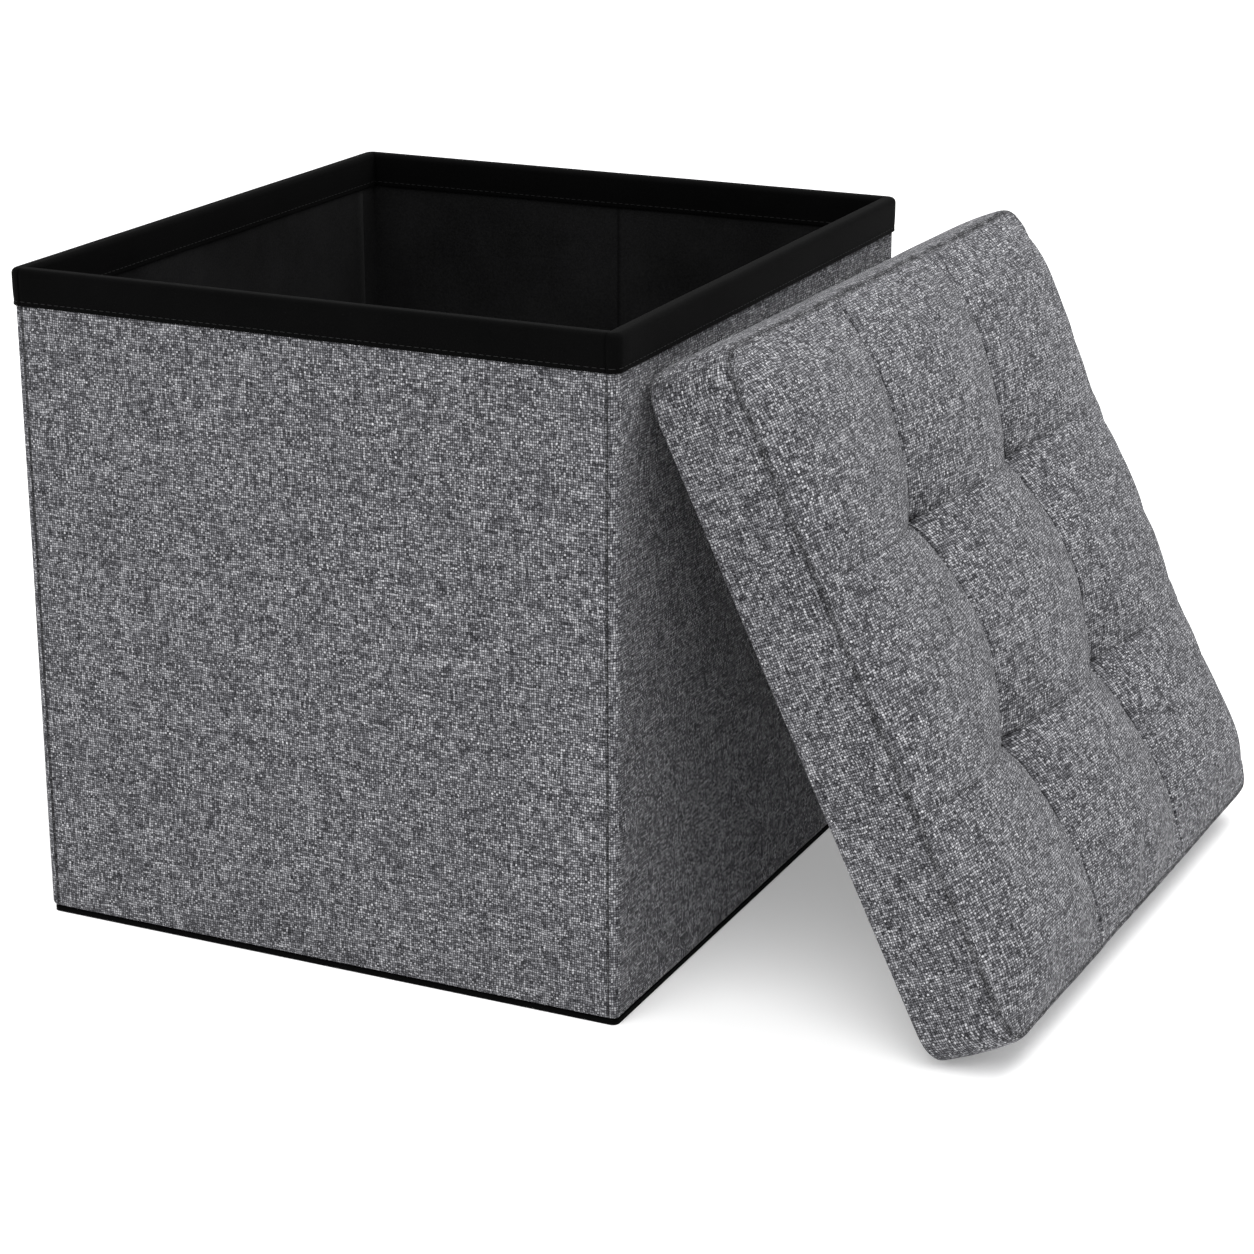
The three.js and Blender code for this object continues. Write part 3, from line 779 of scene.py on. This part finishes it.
TUFT_WIDE, TUFT_NARROW, TUFT_END = 66 * MM, 8 * MM, 90 * MM  # a tuft's dish, its deep middle, and where it ends


def toward_seam(t):
    return math.sin(math.pi / 2 * min(t, 1.0))


def panel_bulge(place, seam):
    """0 on a seam line, 1 in the middle of each panel and from there out to the lid's edge."""
    place = abs(place)
    if place < seam:
        return toward_seam((seam - place) / seam)
    return toward_seam((place - seam) / seam)


def edge_rise(p, q):
    """0 at the edge seam, 1 from EDGE_REACH inside it."""
    dp = LID_LENGTH / 2 - PANEL_INSET - abs(p)
    dq = LID_WIDTH / 2 - PANEL_INSET - abs(q)
    lp, lq = max(0, 1 - dp / EDGE_REACH), max(0, 1 - dq / EDGE_REACH)
    near = min(1.0, (lp**3 + lq**3) ** (1 / 3))
    return 1 - near**2.4


def tuft_pull(p, q):
    """How far the nearest tufts draw the cover down, longer along the seams than between them."""
    drop = 0.0
    for tp, tq in TUFTS:
        dp, dq = p - tp, q - tq
        r = math.hypot(dp, dq)
        if r > TUFT_END:
            continue
        slant = abs(2 * dp * dq) / (r * r + 1e-12)
        wide = max(0.0, 1 - r * (1 + 0.45 * slant) / TUFT_WIDE) ** 1.8
        narrow = math.exp(-((r / TUFT_NARROW) ** 1.4))
        drop += TUFT_DROP * (0.66 * wide + 0.34 * narrow)
    return drop


def panel_height(p, q):
    """Height of the tufted top over the edge seam."""
    bulge = panel_bulge(q, SEAM_Q) * (0.5 + 0.5 * panel_bulge(p, SEAM_P))
    return edge_rise(p, q) * (SEAM_RISE + (CROWN - SEAM_RISE) * bulge) - tuft_pull(p, q)


def seam_lines(half, seam):
    """Grid lines: wide in the panels, and close together by the seams and the edge."""
    near = (0.0, 1.0, 2.2, 4.0, 7.0, 11.0, 16.0)
    lines = {0.0}
    for center in (-seam, seam):
        for step in near:
            lines.update((center - step * MM, center + step * MM))
    for step in (0.0, 3.0, 7.0, 12.0, 18.0):
        lines.update((half - step * MM, step * MM - half))
    ordered = sorted(lines)
    filled = [ordered[0]]
    for nxt in ordered[1:]:
        gap = nxt - filled[-1]
        count = max(1, round(gap / (6.5 * MM)))
        start = filled[-1]
        filled.extend(start + gap * (k + 1) / count for k in range(count))
    return filled


def round_corner(p, q, half_p, half_q, radius):
    """The rectangle's grid, with its corners drawn in to a radius."""
    s = (abs(p) - (half_p - radius)) / radius
    t = (abs(q) - (half_q - radius)) / radius
    if s <= 0 or t <= 0:
        return p, q
    x, y = s * math.sqrt(1 - t * t / 2), t * math.sqrt(1 - s * s / 2)
    return math.copysign(half_p - radius + x * radius, p), math.copysign(half_q - radius + y * radius, q)


# the side band, from the edge seam down to the underside: inset from the lid's outline and height, in millimetres,
# as drawn for a lid of DRAWN_BAND
BAND_RINGS = (
    (4.2, 51.2), (3.4, 50.4), (2.6, 50.9), (1.4, 50.0),
    (0.5, 47.8), (0.0, 44.0), (-0.5, 38.0), (-0.9, 30.0),
    (-0.9, 21.0), (-0.5, 13.0), (-0.1, 7.0), (0.0, 3.6),
    (0.5, 1.7), (1.8, 0.9), (4.0, 0.8), (14.0, 0.8),
)
DRAWN_BAND = 52 * MM


class Cushion:
    """The lid's cover over its foam: tufted top, side band and turned-under hem, as one closed form."""

    def __init__(self):
        half_p, half_q = LID_LENGTH / 2 - PANEL_INSET, LID_WIDTH / 2 - PANEL_INSET
        ps, qs = seam_lines(half_p, SEAM_P), seam_lines(half_q, SEAM_Q)
        self.shape = (len(ps), len(qs))
        self.points, self.flat = [], []
        for p in ps:
            for q in qs:
                x, y = round_corner(p, q, half_p, half_q, LID_CORNER - PANEL_INSET)
                self.points.append((x, y, LID_BAND + panel_height(x, y)))
                self.flat.append((x, y))
        self.loop = self.edge_loop()
        self.rings = []
        for inset, height in BAND_RINGS:
            self.rings.append(len(self.points))
            for index, along in self.loop:
                i, j = divmod(index, self.shape[1])
                hp, hq = LID_LENGTH / 2 - inset * MM, LID_WIDTH / 2 - inset * MM
                radius = max(LID_CORNER - inset * MM, 4 * MM)
                spread = self.spread(ps[i], qs[j], half_p, half_q, hp, hq, radius)
                x, y = round_corner(*spread, hp, hq, radius)
                self.points.append((x, y, height * MM * LID_BAND / DRAWN_BAND))
        self.base = self.base_grid(ps, qs)
        self.build_faces()

    def base_grid(self, ps, qs):
        """Numbers of the flat underside's points, row by row, sharing the last ring round its edge."""
        rows, columns = self.shape
        edge = {index: self.rings[-1] + k for k, (index, _) in enumerate(self.loop)}
        inset, height = BAND_RINGS[-1][0] * MM, BAND_RINGS[-1][1] * MM
        numbers = []
        for index in range(rows * columns):
            if index not in edge:
                edge[index] = len(self.points)
                p, q = ps[index // columns], qs[index % columns]
                scale_p = (LID_LENGTH / 2 - inset) / (LID_LENGTH / 2 - PANEL_INSET)
                scale_q = (LID_WIDTH / 2 - inset) / (LID_WIDTH / 2 - PANEL_INSET)
                self.points.append((p * scale_p, q * scale_q, height))
            numbers.append(edge[index])
        return numbers

    def spread(self, p, q, half_p, half_q, hp, hq, radius):
        """Moves a point of the panel's edge out to a ring's edge, keeping corners with corners."""
        inner = LID_CORNER - PANEL_INSET

        def move(value, half, wide):
            size = abs(value)
            if size > half - inner:
                share = (size - (half - inner)) / inner
                return math.copysign(wide - radius + share * radius, value)
            return value / (half - inner) * (wide - radius)

        return move(p, half_p, hp), move(q, half_q, hq)

    def edge_loop(self):
        """The panel's edge, in order, with the distance round it."""
        rows, columns = self.shape
        loop = [j for j in range(columns)]
        loop += [i * columns + columns - 1 for i in range(1, rows)]
        loop += [(rows - 1) * columns + j for j in range(columns - 2, -1, -1)]
        loop += [i * columns for i in range(rows - 2, 0, -1)]
        along, out = 0.0, []
        for k, index in enumerate(loop):
            if k:
                (x0, y0), (x1, y1) = self.flat[loop[k - 1]], self.flat[index]
                along += math.hypot(x1 - x0, y1 - y0)
            out.append((index, along))
        self.around = along
        return out

    def build_faces(self):
        """Faces, with each corner's weave coordinate: the panel's own plane, or round and up the band."""
        rows, columns = self.shape
        self.faces, self.weave = [], []
        for i in range(rows - 1):
            for j in range(columns - 1):
                a = i * columns + j
                face = (a, a + columns, a + columns + 1, a + 1)
                self.faces.append(face)
                self.weave.extend((*self.flat[k], LID_TOP_CLOTH) for k in face)
        inner = [index for index, _ in self.loop]
        depths = self.band_depths()
        count = len(inner)
        upper, upper_depth = inner, depths[0] - 2 * MM
        for ring, depth in zip(self.rings, depths):
            for k in range(count):
                m = (k + 1) % count
                here = self.loop[k][1]
                there = self.loop[m][1] if m else self.around + 4 * MM
                self.faces.append((upper[k], upper[m], ring + m, ring + k))
                corners = ((here, upper_depth), (there, upper_depth), (there, depth), (here, depth))
                self.weave.extend((*corner, LID_BAND_CLOTH) for corner in corners)
            upper, upper_depth = list(range(ring, ring + count)), depth
        for i in range(rows - 1):
            for j in range(columns - 1):
                a = i * columns + j
                face = tuple(self.base[k] for k in (a, a + 1, a + columns + 1, a + columns))
                self.faces.append(face)
                self.weave.extend((*self.points[k][:2], LID_BAND_CLOTH) for k in face)

    def band_depths(self):
        depths = [0.0]
        for (i0, h0), (i1, h1) in zip(BAND_RINGS, BAND_RINGS[1:]):
            depths.append(depths[-1] + math.hypot(i1 - i0, h1 - h0) * MM)
        return depths

    def make(self):
        mesh = bpy.data.meshes.new("lid_cushion")
        mesh.from_pydata(self.points, [], self.faces)
        layer = mesh.attributes.new("weave", "FLOAT_VECTOR", "CORNER")
        layer.data.foreach_set("vector", np.array(self.weave, np.float32).ravel())
        flat = mesh.attributes.new("flat", "FLOAT_VECTOR", "POINT")
        values = np.zeros((len(self.points), 3), np.float32)
        values[: len(self.flat), :2] = self.flat
        values[len(self.flat):, 2] = 1.0  # off the panel
        flat.data.foreach_set("vector", values.ravel())
        mesh.materials.append(FABRIC)
        mesh.polygons.foreach_set("use_smooth", [True] * len(mesh.polygons))
        mesh.update()
        thing = bpy.data.objects.new("lid_cushion", mesh)
        bpy.context.scene.collection.objects.link(thing)
        return thing


SIM_CAP = 5 * MM  # the simulation moves no point further than this
SIM_FRAMES = 20


def swell(thing, cushion):
    """Cloth simulation: air pressure under the cover, held at the tufts, the edge seam and below it."""
    start = np.array(cushion.points)
    held = thing.vertex_groups.new(name="held")
    for k in range(len(start)):
        x, y = start[k][:2]
        if k >= len(cushion.flat):
            held.add([k], 1.0, "REPLACE")
            continue
        near = min(math.hypot(x - tp, y - tq) for tp, tq in TUFTS)
        edge = min(LID_LENGTH / 2 - PANEL_INSET - abs(x), LID_WIDTH / 2 - PANEL_INSET - abs(y))
        if near < 2.5 * MM or edge < 1 * MM:
            held.add([k], 1.0, "REPLACE")
    cloth = thing.modifiers.new("cloth", "CLOTH")
    settings = cloth.settings
    settings.quality = 6
    settings.mass = 0.25
    settings.tension_stiffness = 25
    settings.compression_stiffness = 12
    settings.shear_stiffness = 8
    settings.bending_stiffness = 0.6
    settings.use_pressure = True
    settings.uniform_pressure_force = 4.0
    settings.vertex_group_mass = "held"
    settings.shrink_min = -0.012
    settings.effector_weights.gravity = 0
    cloth.point_cache.frame_start = 1
    cloth.point_cache.frame_end = SIM_FRAMES
    scene = bpy.context.scene
    for number in range(1, SIM_FRAMES + 1):
        scene.frame_set(number)
    depsgraph = bpy.context.evaluated_depsgraph_get()
    moved = thing.evaluated_get(depsgraph).data
    after = np.empty(len(moved.vertices) * 3)
    moved.vertices.foreach_get("co", after)
    thing.modifiers.remove(cloth)
    scene.frame_set(1)
    shift = after.reshape(-1, 3) - start
    far = np.linalg.norm(shift, axis=1).max()
    print(f"cushion simulation: the cover moves up to {far * 1000:.1f} mm")
    length = np.linalg.norm(shift, axis=1, keepdims=True)
    shift *= np.tanh(length / SIM_CAP) * SIM_CAP / np.maximum(length, 1e-9)
    thing.data.vertices.foreach_set("co", (start + shift).ravel())
    thing.data.update()


def subdivide(thing):
    modifier = thing.modifiers.new("smooth", "SUBSURF")
    modifier.levels = modifier.render_levels = 1
    modifier.boundary_smooth = "PRESERVE_CORNERS"
    depsgraph = bpy.context.evaluated_depsgraph_get()
    thing.data = bpy.data.meshes.new_from_object(thing.evaluated_get(depsgraph))
    thing.modifiers.clear()


def seam_detail(p, q):
    """Seam grooves and gathered pleats on the top panel: how far down, and how dark the painted shade in the grooves
    and tuft pits is.
    """
    reach = min(math.hypot(p - tp, q - tq) for tp, tq in TUFTS)
    wander = 0.5 * MM * noise.noise(Vector((p * 30, q * 30, 2.0)))
    long_line = dip(abs(q + wander) - SEAM_Q, 1.3 * MM)
    cross_line = dip(abs(p + wander) - SEAM_P, 1.4 * MM)
    close = math.exp(-reach / (24 * MM))
    down = 1.5 * MM * long_line * (0.6 + 0.4 * close) + 1.7 * MM * cross_line * (0.15 + 0.85 * close)
    # painted shade along the seam grooves, darker near the tufts
    dark = 0.65 * long_line * (0.6 + 0.4 * close) + 0.7 * cross_line * (0.12 + 0.88 * close)
    for k, (tp, tq) in enumerate(TUFTS):
        r = math.hypot(p - tp, q - tq)
        if r > 60 * MM:
            continue
        angle = math.atan2(q - tq, p - tp)
        gather = math.cos(7 * angle + 1.7 * k + 2 * noise.noise(Vector((angle, k, 5.0))))
        down += 0.9 * MM * gather * math.exp(-r / (15 * MM)) * (1 - dip(r, 5 * MM))
        # painted shade in the tuft's pit
        dark += 0.45 * dip(r, 5 * MM)
    return down, min(dark, 1.0)


def finish_cushion(thing):
    """After the subdivision: grooves, pleats, a puckered edge seam, slow unevenness, and the painted shade along the
    seams and in the tufts.
    """
    mesh = thing.data
    places = np.empty(len(mesh.vertices) * 3)
    mesh.vertices.foreach_get("co", places)
    places = places.reshape(-1, 3)
    flat = np.empty(len(mesh.vertices) * 3)
    mesh.attributes["flat"].data.foreach_get("vector", flat)
    flat = flat.reshape(-1, 3)
    seam = np.zeros(len(places))
    edge_height = LID_BAND - 1.6 * MM
    for k, (x, y, z) in enumerate(places):
        if flat[k, 2] < 0.01:
            down, dark = seam_detail(flat[k, 0], flat[k, 1])
            places[k, 2] -= down
            seam[k] = dark
            places[k, 2] += 0.7 * MM * noise.noise(Vector((x * 22, y * 22, 7.0)))
        elif z > 6 * MM:
            inset = min(LID_LENGTH / 2 - abs(x), LID_WIDTH / 2 - abs(y))
            pucker = noise.noise(Vector((x * 160, y * 160, 4.0)))
            on_seam = dip(z - edge_height, 1.1 * MM)
            if abs(z - edge_height) < 5 * MM:
                places[k, 2] += 0.45 * MM * pucker
                # painted shade along the edge seam's groove
                seam[k] = min(1.0, on_seam * (0.65 + 0.5 * pucker)) if inset < 8 * MM else 0.0
            out = Vector((x / LID_LENGTH, y / LID_WIDTH, 0)).normalized()
            bulge = 0.6 * MM * noise.noise(Vector((x * 18, y * 18, z * 18)))
            places[k, 0] += out.x * bulge
            places[k, 1] += out.y * bulge
    mesh.vertices.foreach_set("co", places.ravel())
    # the painted seam shade, which the fabric's material multiplies into its colour
    layer = mesh.attributes.new("seam", "FLOAT", "POINT")
    layer.data.foreach_set("value", seam.astype(np.float32))
    mesh.attributes.remove(mesh.attributes["flat"])
    face_out(mesh)
    mesh.polygons.foreach_set("use_smooth", [True] * len(mesh.polygons))


def make_cushion():
    cushion = Cushion()
    thing = cushion.make()
    swell(thing, cushion)
    subdivide(thing)
    finish_cushion(thing)
    thing.data.transform(LID_FRAME)
    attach(thing, "lid")
    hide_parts("lid_top_cover", "lid_side_band", "lid_foam")


make_cushion()


def make_underside():
    """Black cloth over the board's underside, short of its edges."""
    margin, thick = 9 * MM, 0.75 * MM
    half = (LID_LENGTH / 2 - margin, LID_WIDTH / 2 - margin)
    low, high = (-half[0], -half[1], 0.0), (half[0], half[1], thick)
    upside = LID_FRAME @ Matrix.Translation((0, 0, thick)) @ Matrix.Rotation(math.pi, 4, "X")
    cloth = cloth_slab("lid_underside_panel", low, high, LINING_CLOTH, 12 * MM, 0.2 * MM, upside)
    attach(cloth, "lid")
    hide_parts("lid_underside_cloth")


make_underside()


def make_tuft_cord(node):
    """Two strands twisted together along the CAD cord's line."""
    points = node_points(node)
    low, high = points.min(0), points.max(0)
    center = (low + high) / 2
    radius = (high[0] - low[0]) / 4
    vertices, faces = [], []
    rows, sides = 25, 8
    for strand in (0, 1):
        for i in range(rows):
            z = low[2] + (high[2] - low[2]) * i / (rows - 1)
            turn = strand * math.pi + i * 0.5
            cx, cy = center[0] + radius * math.cos(turn), center[1] + radius * math.sin(turn)
            for k in range(sides):
                a = 2 * math.pi * k / sides
                local = (cx + radius * math.cos(a), cy + radius * math.sin(a), z)
                vertices.append(LID_DOWN * local[0] + LID_ACROSS * local[1] + LID_UP * local[2])
        faces += tube_faces(strand * rows * sides, rows, sides)
    cord = make_object(node.replace("lid_tuft_cord", "tuft_tie"), vertices, faces, [STITCH])
    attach(cord, "lid")
    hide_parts(node)


for number in range(1, 5):
    make_tuft_cord(f"lid_tuft_cord_{number}")


# ---- carried-over CAD nodes ----
def dress(material, nodes):
    for node in nodes:
        data = frame["nodes"][node].data
        data.materials.clear()
        data.materials.append(material)


WALLS = ("right", "left", "front_right", "front_left", "back_right", "back_left")
dress(BOARD, [f"{wall}_board" for wall in WALLS] + ["base_board", "lid_board"])
dress(PLASTIC, [f"lid_tuft_washer_{number}" for number in range(1, 5)])


# ---- floor, light, background ----
def floor_material():
    n = Nodes("floor_paper", 0.9)
    place = n.object_place()
    n.color(n.ramp(n.noise(place, 3.0, 2.0), ((0.3, (0.90, 0.90, 0.90)), (0.7, (0.92, 0.92, 0.92)))))
    n.shader.inputs["Emission Color"].default_value = (1, 1, 1, 1)
    n.shader.inputs["Emission Strength"].default_value = 0.2
    return n.material


def make_stage():
    size = 12.0  # half the floor's side
    corners = [(-size, -size, 0), (size, -size, 0), (size, size, 0), (-size, size, 0)]
    floor = make_object("floor", corners, [(0, 1, 2, 3)], [floor_material()], smooth=False)
    floor.location.z = -0.05 * MM
    world = bpy.data.worlds.new("studio")
    bpy.context.scene.world = world
    world.use_nodes = True
    tree = world.node_tree
    shade = tree.nodes["Background"]
    shade.inputs["Color"].default_value = (1, 1, 1, 1)
    shade.inputs["Strength"].default_value = 0.8
    seen = tree.nodes.new("ShaderNodeBackground")
    seen.inputs["Color"].default_value = (1, 1, 1, 1)
    seen.inputs["Strength"].default_value = 1.1
    mix = tree.nodes.new("ShaderNodeMixShader")
    path = tree.nodes.new("ShaderNodeLightPath")
    tree.links.new(path.outputs["Is Camera Ray"], mix.inputs[0])
    tree.links.new(shade.outputs[0], mix.inputs[1])
    tree.links.new(seen.outputs[0], mix.inputs[2])
    tree.links.new(mix.outputs[0], tree.nodes["World Output"].inputs["Surface"])


def make_sun(name, strength, softness, azimuth, elevation):
    """A soft light from a direction: azimuth clockwise from the front, seen from above."""
    data = bpy.data.lights.new(name, "SUN")
    data.energy = strength
    data.angle = math.radians(softness)
    lamp = bpy.data.objects.new(name, data)
    a, e = math.radians(azimuth), math.radians(elevation)
    toward = Vector((math.sin(a) * math.cos(e), -math.cos(a) * math.cos(e), math.sin(e)))
    lamp.rotation_euler = toward.to_track_quat("Z", "Y").to_euler()
    bpy.context.scene.collection.objects.link(lamp)


def make_softbox(name, power, size, place, target):
    data = bpy.data.lights.new(name, "AREA")
    data.shape = "DISK"
    data.energy = power
    data.size = size
    lamp = bpy.data.objects.new(name, data)
    lamp.location = place
    lamp.rotation_euler = (Vector(place) - Vector(target)).to_track_quat("Z", "Y").to_euler()
    bpy.context.scene.collection.objects.link(lamp)


make_stage()
make_softbox("key", power=17, size=1.1, place=(0.75, 0.45, 1.60), target=(0.31, 0.0, 0.20))
make_sun("fill", strength=1.9, softness=50, azimuth=5, elevation=58)
bpy.context.scene.view_settings.view_transform = "Standard"
